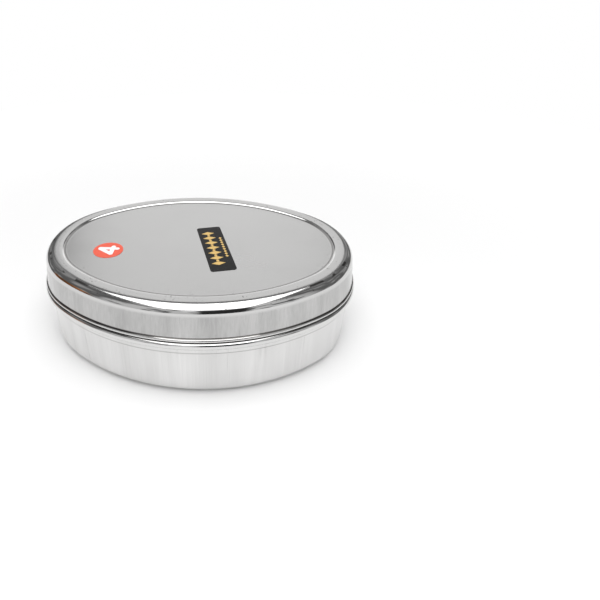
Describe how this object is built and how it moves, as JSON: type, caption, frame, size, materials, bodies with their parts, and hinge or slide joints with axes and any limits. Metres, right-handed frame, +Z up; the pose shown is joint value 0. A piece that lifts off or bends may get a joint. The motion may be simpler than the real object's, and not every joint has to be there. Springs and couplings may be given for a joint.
{
  "type": "oval lunch tin",
  "caption": "Oval sheet-steel food tin: a shallow drawn pan with a beaded wall, closed by a push-on lid with a rounded shoulder, a flat panel and stickers.",
  "frame": {"origin": "on the resting plane, under the middle of the pan", "axes": "+X along the long side of the oval, +Y across it, +Z up towards the lid"},
  "size_m": [0.1626, 0.1216, 0.0511],
  "materials": {
    "pan_steel": "satin drawn wall, polished bead and bottom edge",
    "lid_steel": "satin panel and skirt, polished shoulder and lip",
    "red_sticker": "gloss-coated paper, white numeral",
    "black_label": "gloss-coated paper, gold ornament"
  },
  "bodies": {
    "base": {"base_pan": "pan_steel"},
    "lid": {"lid": "lid_steel", "number_sticker": "red_sticker", "lid_label": "black_label"}
  },
  "joints": [
    {"name": "lid_lift", "type": "slide", "parent": "base", "child": "lid", "axis": [0, 0, 1], "range_m": [0, 0.06]}
  ]
}
